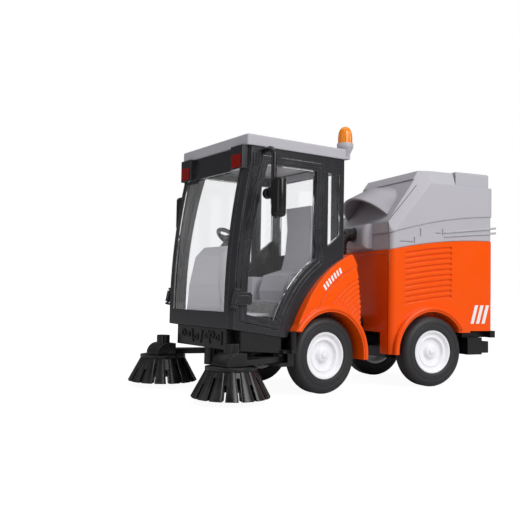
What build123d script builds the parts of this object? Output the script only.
from build123d import *
import math
import os

# Compact articulated street sweeper, a plastic toy about 32 cm long.
# Millimetres. +X is forward along the rear module, +Y its left side, +Z up.
# Both modules are drawn from the pivot that joins them, on the floor. The front one
# is built straight ahead and then turned about the pivot, as it is parked. At the end
# everything is moved so that the origin is the middle of the footprint on the floor.

# Driving dimensions: stance and wheels
turn_at_rest = 10.5
front_axle_x = 73.0
rear_axle_x = -50.0
chassis_half = 32.5
wheel_gap = 3.5
tyre_radius = 30.0
tyre_width = 16.5
tyre_shoulder = 4.5
rim_radius = 18.7
rim_recess = 1.2
axle_radius = 1.6
axle_play = 0.06

# Driving dimensions: cab shell
cab_half = 49.0
cab_wall = 3.2
cab_rear_x = 54.0
cab_front_low_x = 160.5
cab_front_mid = (157.3, 120.0)
cab_front_top = (149.0, 170.0)
header_front_x = 150.0
cab_floor_z = 60.0
cab_sill_front_z = 52.0
cab_sill_rear_x = 113.0
cab_bench_z = 70.0
cab_bench_x = 100.0
seat_play = 0.05
cab_corner = 3.5
pillar_groove = 0.8
roof_under_z = 187.5
roof_thickness = 8.3
roof_front_x = 148.5
roof_rear_x = 52.8
roof_out = 1.0
roof_corner = 1.2
roof_edge = 0.8
screen_bottom_z = 64.0
screen_top_z = 170.0
screen_side = 8.5
glass_thickness = 1.4
glass_play = 0.05

# Driving dimensions: doors
door_gap = 0.6
door_border = 5.8
door_thickness = 3.2
door_flange = 2.6
door_top_z = 181.0
door_rear_x = 76.2
door_front_top_x = 133.4
door_front_mid = (146.6, 128.0)
door_front_low = (151.5, 57.5)
door_low_rear = (115.6, 50.6)
door_slant_mid = (101.0, 79.5)
door_rear_low_z = 102.5
hinge_low_z = 74.0
hinge_low_x = 158.0
hinge_high_z = 179.0
hinge_high_x = 134.0
hinge_out = 2.8
hinge_pin_radius = 1.0
hinge_play = 0.05
strap_height = 9.0
strap_rear_x = 143.0
strap_thickness = 2.4
rib_pitch = 2.4

# Driving dimensions: front fenders, arcs about one centre in the side view
fender_centre = (9.8, 15.9)
fender_radius = 101.5
fender_crease = 91.5
fender_low_z = 49.5
fender_tip_z = 113.0
fender_tip_cut = (
    # x, z of the corner that is cut from the tip
    (49.0, 113.2),
    (44.7, 109.4),
    (41.0, 101.4),
    (42.2, 99.5),
    (40.9, 92.0),
    (38.0, 92.0),
    (38.0, 116.0),
    (49.0, 116.0),
)
fender_rear_x = 41.0
fender_tip_out = 1.5
fender_out = 3.8
arch_radius = 34.5
arch_lip = 4.6
arch_lip_out = 1.6
fender_wrap_y = 20.0
fender_tail_z = 26.0
louvre_first = 82.0
louvre_pitch = 3.6
louvre_count = 9
louvre_width = 1.5
louvre_depth = 0.9

# Driving dimensions: chassis and pivot
chassis_under_z = 24.0
chassis_top_z = 45.0
pivot_radius = 12.0
pivot_pin_radius = 3.0
pivot_play = 0.08
tongue_low_z = 36.0
tongue_high_z = 42.0
fork_thickness = 3.5
fork_gap = 0.3

# Driving dimensions: brushes and their arms
brush_x = 161.5
brush_out = 4.8
brush_foot_radius = 28.0
brush_foot_z = 4.5
brush_plate_radius = 18.7
brush_plate_z = 25.8
brush_plate_thickness = 2.0
brush_wall = 8.0
brush_fingers = 15
brush_slot_width = 2.3
arm_pivot_x = 111.0
arm_pivot_in = 7.5
arm_pin_radius = 2.0
arm_play = 0.08
arm_lift = 0.6
boss_height = 6.0
arm_head_top_z = 35.4
arm_head_half = 10.5
arm_head_front_x = 171.5
arm_head_rear_x = 155.0
arm_bar_height = 4.2
brush_shaft_radius = 3.0
knob_radius = 5.4
knob_height = 6.4

# Driving dimensions: rear body
body_half = 48.4
body_front_x = -8.0
body_rear_x = -119.5
body_corner = 6.0
body_under_z = 46.0
skirt_under_z = 28.0
body_lip_out = 3.1
seam_front_z = 117.0
seam_mid = (-62.0, 125.6)
seam_rear_z = 128.3
seam_gap = 0.3
vent_front_x = -23.0
vent_rear_x = -72.0
vent_first = 4.6
vent_pitch = 4.75
vent_count = 10
vent_height = 2.1
vent_depth = 1.2
front_panel_side = 5.5
front_panel_depth = 0.8

# Driving dimensions: hopper
slope_foot_z = 141.5
slope_top_x = -41.0
crown_z = 188.3
shoulder_z = 177.0
crown_lean = 4.4
bevel_side_low = (-18.0, 141.0)
bevel_side_high = (-50.0, 178.0)
bevel_in = 4.6
rim_width = 1.6
panel_depth = 1.0
feature_mid = (-64.0, 144.9)
feature_front_z = 131.5
feature_rear_z = 151.0
band_depth = 0.8
rib_front_x = -64.0
rib_tail = 2.4
rib_height = 2.0
rib_out = 1.0
lid_front_x = -78.5
lid_gap = 2.8
lid_rear_x = -116.0
lid_side = 3.4
lid_top_z = 190.0
tip_axis_x = -121.6
tip_axis_z = 129.6
tip_barrel_radius = 1.8
tip_pin_radius = 0.8

# Driving dimensions: intake cowl
cowl_wall = 1.8
cowl_forward = 0.7
cowl_stations = (
    # foot x, foot half width, foot z, top x, top z
    (-13.8, 34.6, 148.2, 3.3, 165.0),
    (-22.4, 33.3, 159.3, -19.3, 176.5),
    (-28.5, 32.4, 166.6, -36.2, 177.9),
)


# General shapes
def across(outline, y_low, y_high):
    """Solid of a side outline, drawn in x and z, between two y planes."""
    face = Pos(0, y_high, 0) * (Plane.XZ * outline)
    return extrude(face, amount=y_high - y_low, dir=(0, -1, 0))


def along(outline, x_low, x_high):
    """Solid of a front outline, drawn in y and z, between two x planes."""
    face = Pos(x_low, 0, 0) * (Plane.YZ * outline)
    return extrude(face, amount=x_high - x_low, dir=(1, 0, 0))


def block(x_low, x_high, y_low, y_high, z_low, z_high):
    """Box between two corners."""
    size = Box(x_high - x_low, y_high - y_low, z_high - z_low)
    return Pos((x_low + x_high) / 2, (y_low + y_high) / 2, (z_low + z_high) / 2) * size


def polygon(*points):
    """Closed face through corner points."""
    return make_face(Polyline(*points, points[0]))


def disc(centre, radius):
    return Pos(*centre) * Circle(radius)


def other_side(shape):
    """The same shape on the right-hand side."""
    return mirror(shape, about=Plane.XZ)


def both_sides(shape):
    """The shape and its mirror image."""
    return shape + other_side(shape)


def cross_rod(x, y_low, y_high, z, radius):
    """Round bar along y."""
    rod = Cylinder(radius, y_high - y_low)
    return Pos(x, (y_low + y_high) / 2, z) * Rot(90, 0, 0) * rod


def post(x, y, z_low, z_high, radius):
    """Round bar along z."""
    return Pos(x, y, (z_low + z_high) / 2) * Cylinder(radius, z_high - z_low)


def turned(profile):
    """Solid of revolution about z of a profile given as radius and height pairs."""
    return revolve(Plane.XZ * polygon(*profile), axis=Axis.Z)


def upright_corners(shape, min_length, rule):
    """Vertical edges of a shape that are long enough and pass a rule."""
    edges = shape.edges().filter_by(Axis.Z)
    return edges.filter_by(lambda e: e.length > min_length and rule(e.center()))


# Wheels and axles, made about z and then laid on their axle
wheel_outer_y = chassis_half + wheel_gap + tyre_width
arch_inner_y = chassis_half + 2.0


def tyre_shape():
    half = tyre_width / 2
    tread = half - tyre_shoulder
    wall = tyre_radius - tyre_shoulder
    knee = 0.3 * tyre_shoulder
    profile = [(rim_radius, half - knee), (rim_radius, knee - half)]
    for side in (-1, 1):
        shoulder = (tyre_radius - knee, side * (half - knee))
        corners = [(wall, side * half), shoulder, (tyre_radius, side * tread)]
        profile += corners if side < 0 else corners[::-1]
    return turned(profile)


def rim_shape():
    half = tyre_width / 2 - rim_recess
    steps = (
        # radius, depth below the face
        (rim_radius - 2.1, 0.0),
        (rim_radius - 3.4, 1.6),
        (rim_radius - 6.6, 1.9),
        (rim_radius - 8.0, 4.0),
        (5.6, 4.3),
        (4.8, 1.8),
    )
    profile = [(axle_radius + axle_play, -half), (rim_radius, -half), (rim_radius, half)]
    profile += [(radius, half - depth) for radius, depth in steps]
    profile.append((axle_radius + axle_play, half - 1.4))
    rim = turned(profile)
    back = turned([(6.0, -half - 1), (rim_radius - 2.4, -half - 1), (rim_radius - 3.6, -0.6), (6.0, -0.6)])
    return rim - back


wheel_y = wheel_outer_y - tyre_width / 2
tyre = tyre_shape()
rim = rim_shape()


def place_wheel(shape, axle_x, side):
    left = Pos(axle_x, wheel_y, tyre_radius) * Rot(-90, 0, 0) * shape
    return left if side == "left" else other_side(left)


def axle_shape(x):
    head_y = wheel_outer_y - 3.0
    return cross_rod(x, -head_y, head_y, tyre_radius, axle_radius)


front = {}
rear = {}
for side in ("left", "right"):
    front["tyre_front_" + side] = place_wheel(tyre, front_axle_x, side)
    front["rim_front_" + side] = place_wheel(rim, front_axle_x, side)
    rear["tyre_rear_" + side] = place_wheel(tyre, rear_axle_x, side)
    rear["rim_rear_" + side] = place_wheel(rim, rear_axle_x, side)
front["front_axle"] = axle_shape(front_axle_x)
rear["rear_axle"] = axle_shape(rear_axle_x)


# Cab side outline, walls, floor and window openings
def cab_front(inset):
    """The three points of the curved front, moved back."""
    foot = (cab_front_low_x - inset, screen_bottom_z)
    mid = (cab_front_mid[0] - inset, cab_front_mid[1])
    top = (cab_front_top[0] - inset, cab_front_top[1])
    return foot, mid, top


def cab_outline(inset=0.0, floor=None):
    """Closed side outline of the cab, moved in by the wall on every side."""
    foot, mid, top = cab_front(inset)
    rear_x = cab_rear_x + inset
    top_z = roof_under_z - inset
    head = (header_front_x - 3.0 - inset, top_z)
    if floor is None:
        start = (foot[0], cab_sill_front_z)
        rest = [(rear_x, chassis_top_z), (cab_sill_rear_x, chassis_top_z), start]
    else:
        start = (foot[0], floor)
        rest = [(rear_x, cab_bench_z), (cab_bench_x, cab_bench_z), (cab_bench_x + 8.0, floor), start]
    lines = Line(start, foot)
    lines += ThreePointArc(foot, mid, top)
    lines += Polyline(top, head, (rear_x, top_z), *rest)
    return make_face(lines)


def door_outline():
    top_rear = (door_rear_x, door_top_z)
    top_front = (door_front_top_x, door_top_z)
    slant_top = (door_rear_x, door_rear_low_z)
    lines = Polyline(slant_top, top_rear, top_front)
    lines += ThreePointArc(top_front, door_front_mid, door_front_low)
    lines += Line(door_front_low, door_low_rear)
    lines += ThreePointArc(door_low_rear, door_slant_mid, slant_top)
    return make_face(lines)


screen_half = cab_half - screen_side
door_face = door_outline()
door_hole_face = offset(door_face, door_gap, kind=Kind.INTERSECTION)
door_flange_face = offset(door_face, -2.0, kind=Kind.INTERSECTION)
door_window_face = offset(door_face, -door_border, kind=Kind.INTERSECTION)
quarter_face = polygon((57.5, 174.5), (70.5, 174.5), (70.5, 116.0), (57.5, 126.0))
rear_window = (4.5 - screen_half, screen_half - 4.5, 112.0, 176.0)


def front_band(set_back, width, y_low, y_high):
    """Groove tool that follows the curved front, at a distance behind it."""
    outer = cab_front(set_back)
    inner = cab_front(set_back + width)
    lines = ThreePointArc(*outer)
    lines += Line(outer[2], inner[2])
    lines += ThreePointArc(*reversed(inner))
    lines += Line(inner[0], outer[0])
    return across(make_face(lines), y_low, y_high)


def cab_frame_shape():
    shell = across(cab_outline(), -cab_half, cab_half)
    corners = shell.edges().filter_by(
        lambda e: e.center().X > header_front_x - 4 and abs(abs(e.center().Y) - cab_half) < 0.1
        and e.length > 15
    )
    shell = chamfer(corners, cab_corner)
    inside = across(cab_outline(cab_wall, cab_floor_z), -cab_half + cab_wall, cab_half - cab_wall)
    shell = shell - inside
    reach = cab_half + 5
    shell = shell - across(door_hole_face, -reach, reach)
    shell = shell - across(quarter_face, -reach, reach)
    screen_x = (cab_front_top[0] - 14, cab_front_low_x + 5)
    shell = shell - block(*screen_x, -screen_half, screen_half, screen_bottom_z, screen_top_z)
    shell = shell - block(cab_rear_x - 2, cab_rear_x + cab_wall + 1, *rear_window)
    well = cross_rod(front_axle_x, arch_inner_y, reach, tyre_radius, arch_radius + arch_lip)
    well = well + block(cab_rear_x - 1, front_axle_x, arch_inner_y, reach, 0, tyre_radius + 25)
    shell = shell - both_sides(well)
    face_groove = front_band(-1.0, 1.0 + pillar_groove, screen_half + 2.2, screen_half + 2.2 + pillar_groove)
    side_groove = front_band(cab_corner + 0.6, pillar_groove, cab_half - pillar_groove, cab_half + 1)
    return shell - both_sides(face_groove + side_groove)


cab_frame_plain = cab_frame_shape()

# Hinge pins at the foot and head of each front pillar
hinge_y = cab_half + hinge_out
hinge_low = Vector(hinge_low_x, hinge_y, hinge_low_z)
hinge_high = Vector(hinge_high_x, hinge_y, hinge_high_z)
hinge_dir = (hinge_high - hinge_low).normalized()


def along_hinge(base, length, radius):
    """Round bar centred on a point of the hinge line."""
    return Plane(origin=base, z_dir=hinge_dir) * Cylinder(radius, length)


def hinge_lugs():
    """Pin with a lug above and below the strap, standing off the pillar."""
    lugs = along_hinge(hinge_low, strap_height + 4.0, hinge_pin_radius)
    for step in (-1, 1):
        centre = hinge_low + hinge_dir * (step * (strap_height / 2 + 1.7))
        lug = along_hinge(centre, 1.6, 2.0)
        arm = block(centre.X - 4.0, centre.X, cab_half - 0.6, centre.Y, centre.Z - 0.75, centre.Z + 0.75)
        lugs = lugs + lug + arm
    return lugs


def header_ribs():
    """Short upright ribs on the cab side, behind each header lamp."""
    shape = None
    for index in range(4):
        x = header_front_x - 5.4 - rib_pitch * index
        rib = block(x - 0.6, x + 0.6, cab_half - 1.0, cab_half + 0.9, screen_top_z + 3.0, roof_under_z - 4.5)
        shape = rib if shape is None else shape + rib
    return shape


front["cab_frame"] = cab_frame_plain + both_sides(hinge_lugs() + header_ribs())


# Doors with their strap hinges and panes
def door_shape():
    panel = across(door_face, cab_half - door_thickness, cab_half)
    flange_out = cab_half - door_thickness
    panel = panel + across(door_flange_face, flange_out - door_flange, flange_out)
    panel = panel - across(door_window_face, 0, cab_half + 1)
    groove = offset(door_face, -2.1, kind=Kind.INTERSECTION) - offset(door_face, -2.8, kind=Kind.INTERSECTION)
    panel = panel - across(groove, cab_half - 0.5, cab_half + 1)
    x_low, x_high = strap_rear_x, hinge_low_x - 1.4
    z_low, z_high = hinge_low_z - strap_height / 2, hinge_low_z + strap_height / 2
    strap_y = cab_half + strap_thickness
    strap = block(x_low, x_high, cab_half, cab_half + strap_thickness, z_low, z_high)
    strap = chamfer(strap.edges().filter_by(Axis.Y).filter_by(lambda e: e.center().X < x_low + 1), 1.6)
    rib = block(x_low + 2.5, x_high, cab_half, strap_y + 0.6, hinge_low_z - 2.2, hinge_low_z + 2.2)
    barrel = along_hinge(hinge_low, strap_height, strap_thickness)
    bore = along_hinge(hinge_low, strap_height + 4, hinge_pin_radius + hinge_play)
    return panel + (strap + rib + barrel) - bore


door_left = door_shape()
pane_face = offset(door_window_face, -glass_play, kind=Kind.INTERSECTION)
pane_y = cab_half - door_thickness - 0.4
pane_left = across(pane_face, pane_y - glass_thickness, pane_y)
front["door_left"] = door_left
front["door_right"] = other_side(door_left)
front["door_pane_left"] = pane_left
front["door_pane_right"] = other_side(pane_left)


# Fixed panes
def screen_shape():
    outer = list(cab_front(0.9))
    outer[0] = (outer[0][0], screen_bottom_z + glass_play)
    outer[2] = (outer[2][0], screen_top_z - glass_play)
    inner = [(x - glass_thickness, z) for x, z in outer]
    lines = ThreePointArc(*outer)
    lines += Line(outer[2], inner[2])
    lines += ThreePointArc(*reversed(inner))
    lines += Line(inner[0], outer[0])
    return across(make_face(lines), -screen_half + glass_play, screen_half - glass_play)


front["windscreen"] = screen_shape()
quarter_inner = offset(quarter_face, -glass_play, kind=Kind.INTERSECTION)
quarter_pane = across(quarter_inner, cab_half - 2.6, cab_half - 1.2)
front["quarter_panes"] = both_sides(quarter_pane)
y_low, y_high, z_low, z_high = rear_window
rear_pane_y = (y_low + glass_play, y_high - glass_play)
rear_pane_z = (z_low + glass_play, z_high - glass_play)
front["rear_pane"] = block(cab_rear_x + 1.0, cab_rear_x + 1.0 + glass_thickness, *rear_pane_y, *rear_pane_z)


# Roof slab, header lamps and beacon
roof_half = cab_half + roof_out
roof_top_z = roof_under_z + roof_thickness
lamp_y = cab_half - 9.7
lamp_low_z = 171.0
lamp_high_z = 181.0
lamp_width = 12.0
lamp_play = 0.05


def roof_shape():
    slab = block(roof_rear_x, roof_front_x, -roof_half, roof_half, roof_under_z, roof_top_z)
    slab = fillet(slab.edges().filter_by(Axis.Z), roof_corner)
    slab = chamfer(slab.faces().sort_by(Axis.Z)[-1].edges(), roof_edge)
    lip_half = roof_half - 6.0
    lip = block(roof_rear_x - 3.0, roof_rear_x, -lip_half, lip_half, roof_under_z, roof_under_z + 1.5)
    return slab + lip


def lamp_housing_shape():
    half = lamp_width / 2 + 2.2
    y_low, y_high = lamp_y - half, lamp_y + half
    box = block(header_front_x - 3.0, header_front_x + 1.5, y_low, y_high, screen_top_z, roof_under_z)
    return box - lamp_box(header_front_x + 0.5, header_front_x + 3, 0)


def lamp_box(x_low, x_high, play):
    y_low = lamp_y - lamp_width / 2 + play
    y_high = lamp_y + lamp_width / 2 - play
    return block(x_low, x_high, y_low, y_high, lamp_low_z + play, lamp_high_z - play)


front["roof"] = roof_shape()
front["lamp_housings"] = both_sides(lamp_housing_shape()) - front["cab_frame"]
front["front_lamps"] = both_sides(lamp_box(header_front_x + 0.5, header_front_x + 2.1, lamp_play))

beacon_x = 46.5
beacon_y = cab_half - 8.0
beacon_radius = 6.2
beacon_seat_z = 202.5
beacon_top_z = 217.0


def beacon_base_shape():
    foot_z = roof_under_z + 4.0
    flare_z = roof_under_z + 12.0
    collar = beacon_radius + 0.6
    stem = turned([(0, foot_z), (3.0, foot_z), (collar, flare_z), (collar, beacon_seat_z), (0, beacon_seat_z)])
    bracket = block(-3, roof_rear_x - beacon_x, -3, 3, roof_under_z + 2, roof_under_z + 6)
    return Pos(beacon_x, beacon_y, 0) * (stem + bracket)


def beacon_dome_shape():
    dome = (
        # share of the radius, share of the height
        (1.0, 0.0),
        (1.0, 0.55),
        (0.86, 0.80),
        (0.55, 0.96),
        (0.0, 1.0),
    )
    height = beacon_top_z - beacon_seat_z
    profile = [(0, beacon_seat_z)]
    profile += [(beacon_radius * r, beacon_seat_z + height * h) for r, h in dome]
    return Pos(beacon_x, beacon_y, 0) * turned(profile)


front["beacon_base"] = beacon_base_shape()
front["beacon_dome"] = beacon_dome_shape()


# Mirrors on bent tubes
def straight_tube(points, radius):
    """Round bar through points, with a ball at each inner corner."""
    shape = None
    for start, end in zip(points, points[1:]):
        run = Vector(*end) - Vector(*start)
        middle = Vector(*start) + run * 0.5
        bar = Plane(origin=middle, z_dir=run.normalized()) * Cylinder(radius, run.length + 0.4 * radius)
        shape = bar if shape is None else shape + bar
    return shape


def mirror_shape():
    radius = 2.0
    root = (132.0, cab_half - 1.0, roof_under_z - 2.6)
    bend = (134.9, cab_half + 12.5, roof_under_z - 3.0)
    elbow = (136.0, cab_half + 17.0, roof_under_z - 6.5)
    foot = (136.2, cab_half + 17.3, 148.0)
    tube = straight_tube((root, bend, elbow, foot), radius)
    head_y = cab_half + 24.0
    head = block(132.9, 139.9, head_y - 6.25, head_y + 6.25, 132.5, 161.5)
    head = chamfer(head.edges().filter_by(Axis.Y), 3.0)
    head = chamfer(head.edges().filter_by(Axis.Z), 1.4)
    clamp = block(134.0, 138.6, cab_half + 12.5, cab_half + 19.0, 147.0, 155.0)
    knob = cross_rod(136.2, cab_half + 7.6, cab_half + 13.0, 151.0, 4.0)
    return tube + head + clamp + knob - cab_frame_plain


mirror_left = mirror_shape()
front["mirror_left"] = mirror_left
front["mirror_right"] = other_side(mirror_left)


# Inside the cab: grey tub with the seat, dash, steering wheel
def seat_shape():
    half = 17.0
    cushion = ((88, 62), (91, 80), (87, 93), (68, 98.5))
    back = ((64, 112), (62, 134), (63.5, 152), (59.5, 152), (57.8, 100), (57.8, 62))
    seat = across(polygon(*cushion, *back), -half, half)
    console = both_sides(block(62.0, 92.0, half + 9.0, cab_half - 10.0, 70.0, 92.0))
    low = cab_bench_z + seat_play
    floor_low = cab_floor_z + seat_play
    floor = block(cab_bench_x + 10, 150, -26, 26, floor_low, floor_low + 2.0)
    base = block(cab_rear_x + cab_wall + 0.1, cab_bench_x - 1, -40, 40, low, low + 2.0)
    step_x = cab_bench_x + seat_play
    tub = polygon((50, 50), (50, low), (step_x, low), (step_x + 8.0, floor_low), (150, floor_low), (150, 50))
    return seat + console + base + floor - across(tub, -50, 50)


front["seat"] = seat_shape()


def dash_shape():
    side = polygon((132, 62.1), (154, 62.1), (154, 84), (151, 106), (144, 114), (136, 112), (132, 100))
    face = polygon((-27, 60), (27, 60), (17, 118), (-17, 118))
    return across(side, -30, 30) & along(face, 120, 160)


def steering_shape():
    ring = (
        # radius, height: a six-sided section
        (9.7, 0.0),
        (10.35, 1.1),
        (11.65, 1.1),
        (12.3, 0.0),
        (11.65, -1.1),
        (10.35, -1.1),
    )
    shape = turned(ring) + Cylinder(3.2, 2.4)
    for turn in (0, 120, 240):
        shape = shape + Rot(0, 0, turn) * Pos(6.2, 0, 0) * Box(9.0, 2.2, 1.6)
    return shape + Pos(0, 0, -9.5) * Cylinder(2.2, 17.0)


front["dashboard"] = dash_shape()
front["steering_wheel"] = Pos(131.0, 0, 121.5) * Rot(0, -38, 0) * steering_shape() - front["dashboard"]


# Fenders over the front wheels
def arch_band(axle_x, y_low, y_high, front_low_z, rear_low_z):
    """Raised lip round a wheel opening, cut off level at the front and the rear."""
    band = cross_rod(axle_x, y_low, y_high, tyre_radius, arch_radius + arch_lip)
    band = band - cross_rod(axle_x, y_low - 1, y_high + 1, tyre_radius, arch_radius)
    reach = arch_radius + arch_lip + 1
    band = band - block(axle_x, axle_x + reach, y_low - 1, y_high + 1, -20, front_low_z)
    return band - block(axle_x - reach, axle_x, y_low - 1, y_high + 1, -20, rear_low_z)


fender_half = wheel_outer_y + fender_out
fender_tip_half = cab_half + fender_tip_out
fender_lean_z = tyre_radius + arch_radius + arch_lip


def fender_side(inset):
    """Everything inside the leaning outer face of the fender, moved in."""
    face = polygon(
        (0, 0),
        (fender_half - inset, 0),
        (fender_half - inset, fender_lean_z),
        (fender_tip_half - inset, fender_tip_z),
        (fender_tip_half - inset, 200),
        (0, 200),
    )
    return along(face, fender_rear_x - 20, front_axle_x + 60)


def fender_ring(radius, width):
    """Ring about the fender's own centre, as a side outline."""
    return disc(fender_centre, radius) - disc(fender_centre, radius - width)


def fender_shape():
    reach = fender_half + 5
    box = block(fender_rear_x, front_axle_x + 60, 0, reach, fender_low_z, fender_tip_z)
    full = across(disc(fender_centre, fender_radius), fender_wrap_y, reach) & box & fender_side(0)
    side = full & block(0, 200, cab_half, reach, 0, 200)
    wrap = full & block(0, cab_rear_x, 0, cab_half, 0, 200)
    shape = side + wrap
    arch = cross_rod(front_axle_x, 0, reach, tyre_radius, arch_radius + 0.8)
    shape = shape - arch
    arch_edge = disc((front_axle_x, tyre_radius), arch_radius + arch_lip + 1.0)
    clear_of_arch = across(arch_edge, 0, reach)
    tools = across(fender_ring(fender_crease, 0.8), 0, reach)
    for index in range(louvre_count):
        radius = louvre_first - louvre_pitch * index
        tools = tools + (across(fender_ring(radius, louvre_width), 0, reach) - clear_of_arch)
    skin = block(0, 200, 0, reach, 0, 200) - fender_side(louvre_depth)
    shape = shape - (tools & skin)
    shape = shape - across(polygon(*fender_tip_cut), 0, reach)
    lip_y = fender_half + arch_lip_out
    return shape + arch_band(front_axle_x, arch_inner_y, lip_y, fender_low_z, fender_tail_z)


fender_left = fender_shape()
front["fender_left"] = fender_left
front["fender_right"] = other_side(fender_left)


# Cab underside: side panels, front panel with its moulded relief, suction post
panel_front_x = cab_front_low_x - 4.0
panel_low_z = 36.0
panel_half = cab_half - 11.0


relief_rings = (
    # distance in from the panel's left edge, step in height, radius
    (65.0, 1.5, 3.0),
    (57.0, 0.5, 2.2),
    (44.0, -1.0, 2.6),
    (29.0, 0.8, 2.2),
    (20.0, 2.0, 3.2),
    (12.0, 0.0, 2.6),
)
relief_bars = (
    # distance in from the panel's left edge, tilt in degrees
    (50.5, 12),
    (36.5, -14),
    (24.5, 8),
    (6.5, 0),
)


def relief_shape():
    """Moulded couplings and short hoses on the front panel."""
    proud = 0.9
    z_mid = (panel_low_z + cab_sill_front_z) / 2
    shape = None
    for edge_gap, z_step, radius in relief_rings:
        ring = Circle(radius) - Circle(radius - 1.1)
        ring = along(Pos(panel_half - edge_gap, z_mid + z_step) * ring, panel_front_x, panel_front_x + proud)
        shape = ring if shape is None else shape + ring
    for edge_gap, tilt in relief_bars:
        bar = Pos(panel_half - edge_gap, z_mid) * Rot(0, 0, tilt) * Rectangle(1.6, 10.0)
        shape = shape + along(bar, panel_front_x, panel_front_x + proud)
    return shape


def cab_under_shape():
    rear_x = cab_sill_rear_x + 1.0
    side_low = 33.0
    upper = ((rear_x, chassis_top_z), (cab_front_low_x - 2.0, cab_sill_front_z - 0.3))
    lower = ((panel_front_x, cab_sill_front_z - 0.3), (panel_front_x, panel_low_z), (rear_x, side_low))
    outline = polygon(*upper, *lower)
    recess_x = header_front_x
    side = across(outline, panel_half + 1.0, cab_half - 1.0) & block(rear_x, recess_x, 0, cab_half, 30, 60)
    middle = across(outline, -panel_half, panel_half)
    bridge = across(outline, -cab_half + 1, cab_half - 1)
    bridge = bridge & block(rear_x, recess_x - 4, -cab_half, cab_half, panel_low_z, 60)
    foot = post(147.0, 0, 22.0, panel_low_z + 4, 5.0)
    return both_sides(side) + middle + bridge + foot + relief_shape()


front["cab_underside"] = cab_under_shape()


# Front chassis with the pivot fork
def front_chassis_shape():
    low = block(20.0, 113.5, -chassis_half, chassis_half, chassis_under_z, chassis_top_z)
    nose = block(113.5, 128.0, -chassis_half, chassis_half, chassis_under_z, 33.0)
    shape = low + nose
    for z_low in (tongue_high_z + fork_gap, tongue_low_z - fork_gap - fork_thickness):
        z_mid = z_low + fork_thickness / 2
        plate = Pos(0, 0, z_mid) * Cylinder(pivot_radius, fork_thickness)
        plate = plate + Pos(12.0, 0, z_mid) * Box(24.0, 2 * pivot_radius, fork_thickness)
        shape = shape + plate
    shape = shape - post(0, 0, 0, 100, pivot_pin_radius + pivot_play)
    return shape - cross_rod(front_axle_x, -chassis_half - 5, chassis_half + 5, tyre_radius, axle_radius)


front["front_chassis"] = front_chassis_shape()

# Brush arms, their mounts, and brush heads
brush_y = cab_half + brush_out
arm_pivot_y = cab_half - arm_pivot_in
arm_low_z = brush_plate_z + arm_lift


def knob_outline():
    """Fluted outline of the knurled cap."""
    flutes = 12
    points = []
    for index in range(2 * flutes):
        radius = knob_radius - 0.7 * (index % 2)
        angle = math.pi * index / flutes
        points.append((radius * math.cos(angle), radius * math.sin(angle)))
    return polygon(*points)


def arm_shape():
    tail = arm_head_rear_x + 2.0
    bar_face = polygon(
        (arm_pivot_x, arm_pivot_y - 5),
        (tail, brush_y - 6.5),
        (tail, brush_y + arm_head_half - 1.5),
        (arm_pivot_x, arm_pivot_y + 5),
    )
    bar = extrude(Pos(0, 0, arm_low_z) * bar_face, amount=arm_bar_height)
    boss = post(arm_pivot_x, arm_pivot_y, arm_low_z, arm_low_z + boss_height, 5.0)
    round_radius = arm_head_top_z - arm_low_z
    knee = (arm_head_front_x - round_radius, arm_head_top_z)
    toe = (arm_head_front_x, arm_low_z)
    turn = round_radius * math.sqrt(0.5)
    lines = ThreePointArc(toe, (knee[0] + turn, arm_low_z + turn), knee)
    lines += Polyline(knee, (arm_head_rear_x, arm_head_top_z), (arm_head_rear_x, arm_low_z), toe)
    head = across(make_face(lines), brush_y - arm_head_half, brush_y + arm_head_half)
    knob = extrude(Pos(brush_x, brush_y, arm_head_top_z - 1.0) * knob_outline(), amount=knob_height + 1.0)
    shape = bar + boss + head + knob
    shape = shape - post(arm_pivot_x, arm_pivot_y, 0, 60, arm_pin_radius + arm_play)
    return shape - post(brush_x, brush_y, 0, arm_head_top_z - 0.6, brush_shaft_radius + arm_play)


def arm_mount_shape():
    """Box on the chassis with the pin that the brush arm swings on, and its rod."""
    rear_x, front_x = arm_pivot_x - 7.5, arm_pivot_x + 6.0
    side_y = cab_half + 2.0
    top_z = arm_low_z + boss_height + 2.6
    low = block(rear_x, front_x, chassis_half, side_y, chassis_under_z - 1, brush_plate_z)
    high = block(rear_x, cab_sill_rear_x + 0.9, chassis_half, side_y, top_z - 2.0, top_z)
    web = block(rear_x, rear_x + 2.0, chassis_half, side_y, brush_plate_z, top_z)
    web = web + block(rear_x, rear_x + 6.0, side_y - 2.0, side_y, brush_plate_z, top_z)
    pin = post(arm_pivot_x, arm_pivot_y, chassis_under_z, top_z - 1.0, arm_pin_radius)
    strut = post(rear_x + 2.0, side_y + 0.9, top_z, fender_low_z, 2.6)
    foot = block(rear_x, rear_x + 5.0, side_y, side_y + 3.5, top_z - 2.0, top_z)
    return low + high + web + pin + strut + foot


def brush_shape():
    plate_z = brush_plate_z - brush_plate_thickness
    height = plate_z - brush_foot_z
    top_radius = brush_plate_radius - 1.0
    cone = turned([
        (brush_foot_radius - brush_wall, brush_foot_z),
        (brush_foot_radius, brush_foot_z),
        (top_radius, plate_z),
        (top_radius - brush_wall, plate_z),
    ])
    slots = None
    slot_half = brush_slot_width / 2
    for index in range(brush_fingers):
        depth = height * (0.78 if index % 2 else 0.55)
        slot = block(0, brush_foot_radius + 5, -slot_half, slot_half, 0, brush_foot_z + depth)
        slot = Rot(0, 0, 360 / brush_fingers * index) * slot
        slots = slot if slots is None else slots + slot
    plate = post(0, 0, plate_z, brush_plate_z, brush_plate_radius)
    shaft = post(0, 0, brush_plate_z, arm_head_top_z - 1.0, brush_shaft_radius)
    return Pos(brush_x, brush_y, 0) * (cone - slots + plate + shaft)


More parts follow.
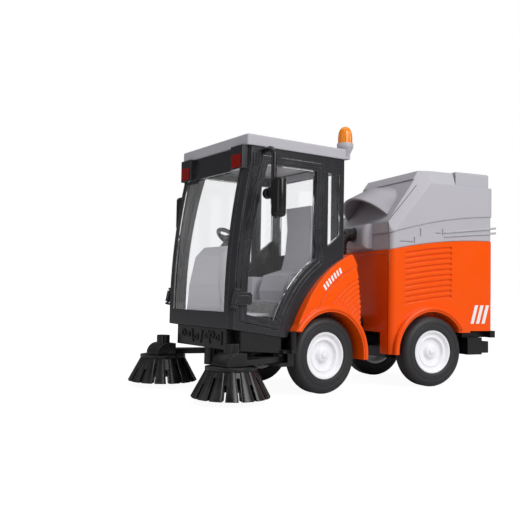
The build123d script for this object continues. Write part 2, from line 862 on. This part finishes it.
arm_left = arm_shape()
brush_left = brush_shape()
front["brush_arm_left"] = arm_left
front["brush_arm_right"] = other_side(arm_left)
front["brush_left"] = brush_left
front["brush_right"] = other_side(brush_left)
front["arm_mounts"] = both_sides(arm_mount_shape())


# Rear chassis with the pivot tongue and pin, tail boxes and the hook
def rear_chassis_shape():
    deck_z = 41.2
    low = block(-92.0, -14.0, -chassis_half, chassis_half, chassis_under_z, body_under_z)
    back = block(-118.0, -92.0, -chassis_half - 6, chassis_half + 6, deck_z, body_under_z)
    box = both_sides(block(-110.0, -94.0, 22.0, body_half - 4.4, 26.0, deck_z))
    hook = both_sides(block(-121.0, -110.0, 24.0, 40.0, 27.0, 37.5))
    tongue = post(0, 0, tongue_low_z, tongue_high_z, pivot_radius - 1)
    tongue = tongue + block(-15.0, 0, -pivot_radius + 1, pivot_radius - 1, tongue_low_z, tongue_high_z)
    pin_low = tongue_low_z - fork_gap - fork_thickness
    pin_high = tongue_high_z + fork_gap + fork_thickness
    pin = post(0, 0, pin_low, pin_high, pivot_pin_radius)
    shape = low + back + box + hook + tongue + pin
    return shape - cross_rod(rear_axle_x, -chassis_half - 5, chassis_half + 5, tyre_radius, axle_radius)


rear["rear_chassis"] = rear_chassis_shape()
rear["rear_bumper"] = block(-123.5, -118.0, 2.4 - body_half, body_half - 2.4, 41.2, 47.4)


# Seam between the lower body and the hopper, an arc that rises to the rear
def seam_arc(shift):
    return ThreePointArc(
        (body_front_x, seam_front_z + shift),
        (seam_mid[0], seam_mid[1] + shift),
        (body_rear_x, seam_rear_z + shift),
    )


def vent_face(index):
    """Side outline of one louvre, which keeps the seam's curve."""
    drop = -vent_first - vent_pitch * index
    lines = seam_arc(drop)
    lines += Line((body_rear_x, seam_rear_z + drop), (body_rear_x, seam_rear_z + drop - vent_height))
    lines += seam_arc(drop - vent_height)
    lines += Line((body_front_x, seam_front_z + drop - vent_height), (body_front_x, seam_front_z + drop))
    return make_face(lines)


def lower_body_shape():
    lines = seam_arc(0)
    lines += Polyline(
        (body_rear_x, seam_rear_z),
        (body_rear_x, body_under_z + 1.4),
        (-93.0, body_under_z + 1.4),
        (-93.0, body_under_z),
        (body_front_x - 10, body_under_z),
        (body_front_x - 10, skirt_under_z),
        (body_front_x, skirt_under_z),
        (body_front_x, seam_front_z),
    )
    shape = across(make_face(lines), -body_half, body_half)
    chassis_gap = chassis_half + 0.5
    shape = shape - block(body_front_x - 12, body_front_x + 1, -chassis_gap, chassis_gap, 0, body_under_z)
    corners = upright_corners(shape, 40, lambda c: abs(abs(c.Y) - body_half) < 0.1)
    shape = fillet(corners, body_corner)
    panel_half_y = body_half - front_panel_side
    panel_x = body_front_x - front_panel_depth
    panel_low, panel_high = body_under_z + 3, seam_front_z - 3
    shape = shape - block(panel_x, body_front_x + 1, -panel_half_y, panel_half_y, panel_low, panel_high)
    wells = cross_rod(rear_axle_x, arch_inner_y, body_half + 10, tyre_radius, arch_radius)
    shape = shape - both_sides(wells)
    window = block(vent_rear_x, vent_front_x, body_half - vent_depth, body_half + 1, 0, 200)
    vents = None
    for index in range(vent_count):
        vent = across(vent_face(index), body_half - vent_depth, body_half + 1) & window
        vents = vent if vents is None else vents + vent
    shape = shape - both_sides(vents)
    lip = arch_band(rear_axle_x, body_half - 2, body_half + body_lip_out, skirt_under_z, body_under_z + 3)
    return shape + both_sides(lip)


tip_lugs = ((20.0, 26.0), (-26.0, -20.0))
tip_knuckles = ((26.3, 31.5), (-31.5, -26.3))


def tip_hinge_low():
    """Lugs at the top rear edge of the lower body, with their pins."""
    shape = cross_rod(tip_axis_x, 20.0, 31.5, tip_axis_z, tip_pin_radius)
    shape = shape + cross_rod(tip_axis_x, -31.5, -20.0, tip_axis_z, tip_pin_radius)
    for y_low, y_high in tip_lugs:
        shape = shape + cross_rod(tip_axis_x, y_low, y_high, tip_axis_z, tip_barrel_radius)
        web_x = tip_axis_x - tip_barrel_radius
        shape = shape + block(web_x, body_rear_x, y_low, y_high, seam_rear_z - 4, seam_rear_z)
    return shape


def tip_hinge_high():
    """Knuckles on the hopper, beside the lugs."""
    shape = None
    for y_low, y_high in tip_knuckles:
        knuckle = cross_rod(tip_axis_x, y_low, y_high, tip_axis_z, tip_barrel_radius)
        web = block(tip_axis_x, body_rear_x + band_depth, y_low, y_high, tip_axis_z, tip_axis_z + 4)
        bore = cross_rod(tip_axis_x, y_low - 1, y_high + 1, tip_axis_z, tip_pin_radius + 0.06)
        knuckle = knuckle + web - bore
        shape = knuckle if shape is None else shape + knuckle
    return shape


lower_body_plain = lower_body_shape()
rear["lower_body"] = lower_body_plain + tip_hinge_low()


# Hopper: an upper part over an inset band, split along a rising feature line
slope_run = (slope_top_x - body_front_x) / (crown_z - slope_foot_z)


def slope_x(z):
    """Place of the sloping front at a height."""
    return body_front_x + slope_run * (z - slope_foot_z)


def feature_arc(inset):
    return ThreePointArc(
        (body_front_x - inset, feature_front_z),
        feature_mid,
        (body_rear_x + inset, feature_rear_z),
    )


def hopper_band_shape():
    """Lower band of the hopper, set in a little all round."""
    front_x = body_front_x - band_depth
    rear_x = body_rear_x + band_depth
    seam = ThreePointArc(
        (front_x, seam_front_z + seam_gap),
        (seam_mid[0], seam_mid[1] + seam_gap),
        (rear_x, seam_rear_z + seam_gap),
    )
    lines = seam + feature_arc(band_depth)
    lines += Line((front_x, seam_front_z + seam_gap), (front_x, feature_front_z))
    lines += Line((rear_x, seam_rear_z + seam_gap), (rear_x, feature_rear_z))
    shape = across(make_face(lines), band_depth - body_half, body_half - band_depth)
    corners = upright_corners(shape, 10, lambda c: abs(abs(c.Y) - body_half + band_depth) < 0.1)
    return fillet(corners, body_corner - 1.5)


def hopper_upper_shape():
    """Sloping front, crown and tail shoulder above the feature line."""
    crown_rear_x = lid_front_x + lid_gap
    lines = feature_arc(0)
    lines += Polyline(
        (body_rear_x, feature_rear_z),
        (body_rear_x, shoulder_z),
        (crown_rear_x, shoulder_z),
        (crown_rear_x, crown_z),
        (slope_top_x, crown_z),
        (body_front_x, slope_foot_z),
        (body_front_x, feature_front_z),
    )
    shape = across(make_face(lines), -body_half, body_half)
    corners = upright_corners(shape, 8, lambda c: abs(abs(c.Y) - body_half) < 0.1)
    shape = fillet(corners.filter_by(lambda e: abs(e.center().X - crown_rear_x) > 1), body_corner - 1)
    outer = body_half + 1
    over = crown_z + 1
    lean = polygon((body_half, shoulder_z), (outer, shoulder_z), (outer, over), (body_half - crown_lean, over))
    shape = shape - both_sides(along(lean, crown_rear_x - 1, 0))
    return shape - both_sides(slope_bevel())


def slope_bevel():
    """Wedge that takes the long edge between the sloping front and a side."""
    low = Vector(bevel_side_low[0], body_half, bevel_side_low[1])
    high = Vector(bevel_side_high[0], body_half, bevel_side_high[1])
    inner = Vector(body_front_x, body_half - bevel_in, slope_foot_z)
    run = (high - low).normalized()
    normal = run.cross(inner - low).normalized()
    if normal.X < 0:
        normal = normal * -1
    plane = Plane(origin=low, x_dir=run, z_dir=normal)
    tool = plane * Pos(30, 0, 20) * Box(110, 60, 40)
    return tool & block(-60, 10, body_half - 14, body_half + 5, feature_front_z + 2, crown_z + 5)


def slope_panel_shape():
    """Shallow sunk panel between the rims of the sloping front."""
    half = body_half - bevel_in - rim_width
    z_low, z_high = slope_foot_z + 3.0, crown_z - 8.0
    outline = polygon(
        (slope_x(z_low) - panel_depth, z_low),
        (slope_x(z_low) + 2, z_low),
        (slope_x(z_high) + 2, z_high),
        (slope_x(z_high) - panel_depth, z_high),
    )
    return across(outline, -half, half)


def latch_slots():
    """Small moulded slots in the band, beside two hooked marks."""
    depth = band_depth + 0.7
    y_low, y_high = body_half - depth, body_half + 1
    bars = (
        # x low, x high, z low, z high
        (-31.0, -17.5, 124.0, 124.8),
        (-33.0, -31.6, 123.6, 128.4),
        (-39.4, -38.0, 129.4, 136.6),
        (-61.6, -54.9, 132.8, 133.6),
        (-63.0, -61.6, 131.9, 137.2),
    )
    shape = None
    for x_low, x_high, z_low, z_high in bars:
        bar = block(x_low, x_high, y_low, y_high, z_low, z_high)
        shape = bar if shape is None else shape + bar
    return shape


def band_ribs():
    """Two raised ribs that climb to the tail and stand out behind it."""
    shape = None
    y_low = body_half - band_depth - 0.5
    for z_front, z_rear in ((133.6, 139.9), (130.2, 135.4)):
        tail_x = body_rear_x - rib_tail
        nose = ((rib_front_x, z_front), (rib_front_x, z_front + 0.6))
        outline = polygon(*nose, (tail_x, z_rear + rib_height), (tail_x, z_rear))
        rib = across(outline, y_low, body_half - band_depth + rib_out)
        shape = rib if shape is None else shape + rib
    return shape


def hopper_shape():
    shape = hopper_band_shape() + hopper_upper_shape()
    shape = shape - slope_panel_shape() - both_sides(latch_slots())
    return shape + both_sides(band_ribs()) + tip_hinge_high()


hopper = hopper_shape()
rear["hopper"] = hopper
lid_half = body_half - lid_side
lid = block(lid_rear_x, lid_front_x, -lid_half, lid_half, shoulder_z, lid_top_z)
rear["hopper_lid"] = chamfer(lid.faces().sort_by(Axis.Z)[-1].edges(), 1.0)


# Hose socket under the cowl and the hose that leaves it
socket_front_x = 0.0
socket_half = 19.0
socket_round = 5.0
hose_radius = 6.0
hose_z = 132.0


def socket_shape():
    top_z = slope_foot_z - 0.2
    boss = block(body_front_x - band_depth, socket_front_x, -socket_half, socket_half, 119.0, top_z)
    boss = fillet(boss.faces().sort_by(Axis.X)[-1].edges(), socket_round)
    bore = Pos(socket_front_x - 3.0, 0, hose_z) * Rot(0, 90, 0) * Cylinder(hose_radius + 0.6, 8.0)
    return boss - bore - hopper


rear["hose_socket"] = socket_shape()


# Intake cowl: a visor between a tilted round mouth and an arc on the slope
def cowl_section(station, inset, forward):
    """Face under one arc, moved in by the inset and out of the mouth."""
    foot_x, foot_half, foot_z, top_x, top_z = station
    rise = Vector(top_x - foot_x, 0, top_z - foot_z).normalized()
    move = rise * -inset + Vector(rise.Z, 0, -rise.X) * forward
    left = Vector(foot_x, foot_half - inset, foot_z) + move
    right = Vector(foot_x, inset - foot_half, foot_z) + move
    top = Vector(top_x, 0, top_z) + move
    return Face(Wire([ThreePointArc(right, top, left), Line(left, right)]))


def cowl_solid(inset, forward):
    """Loft from the mouth over a raised middle arc to the arc on the slope."""
    mouth, middle, tail = cowl_stations
    first = cowl_section(mouth, inset, forward)
    second = cowl_section(middle, inset, 0)
    third = cowl_section(tail, inset, -forward)
    return loft([first, second], ruled=True) + loft([second, third], ruled=True)


rear["intake_cowl"] = cowl_solid(0.0, 0.0) - cowl_solid(cowl_wall, cowl_forward) - hopper


def hose_shape():
    route = (
        # x, z
        (1.4, 132.0),
        (7.0, 131.4),
        (11.5, 127.5),
        (13.0, 120.0),
        (13.0, 67.0),
        (10.5, 58.0),
        (4.0, 53.6),
        (-9.0, 53.2),
    )
    return straight_tube([(x, 0, z) for x, z in route], hose_radius) - lower_body_plain


rear["suction_hose"] = hose_shape()

# The front module stands turned about the pivot, as it is parked
parked = {name: Rot(0, 0, turn_at_rest) * shape for name, shape in front.items()}
parked.update(rear)

# Move the middle of the footprint to the origin
low = Vector(*[min(getattr(p.bounding_box().min, a) for p in parked.values()) for a in "XYZ"])
high = Vector(*[max(getattr(p.bounding_box().max, a) for p in parked.values()) for a in "XYZ"])
pivot_x = -(low.X + high.X) / 2
pivot_y = -(low.Y + high.Y) / 2

os.makedirs("parts", exist_ok=True)
for name, shape in parked.items():
    export_step(Pos(pivot_x, pivot_y, 0) * shape, "parts/" + name + ".step")
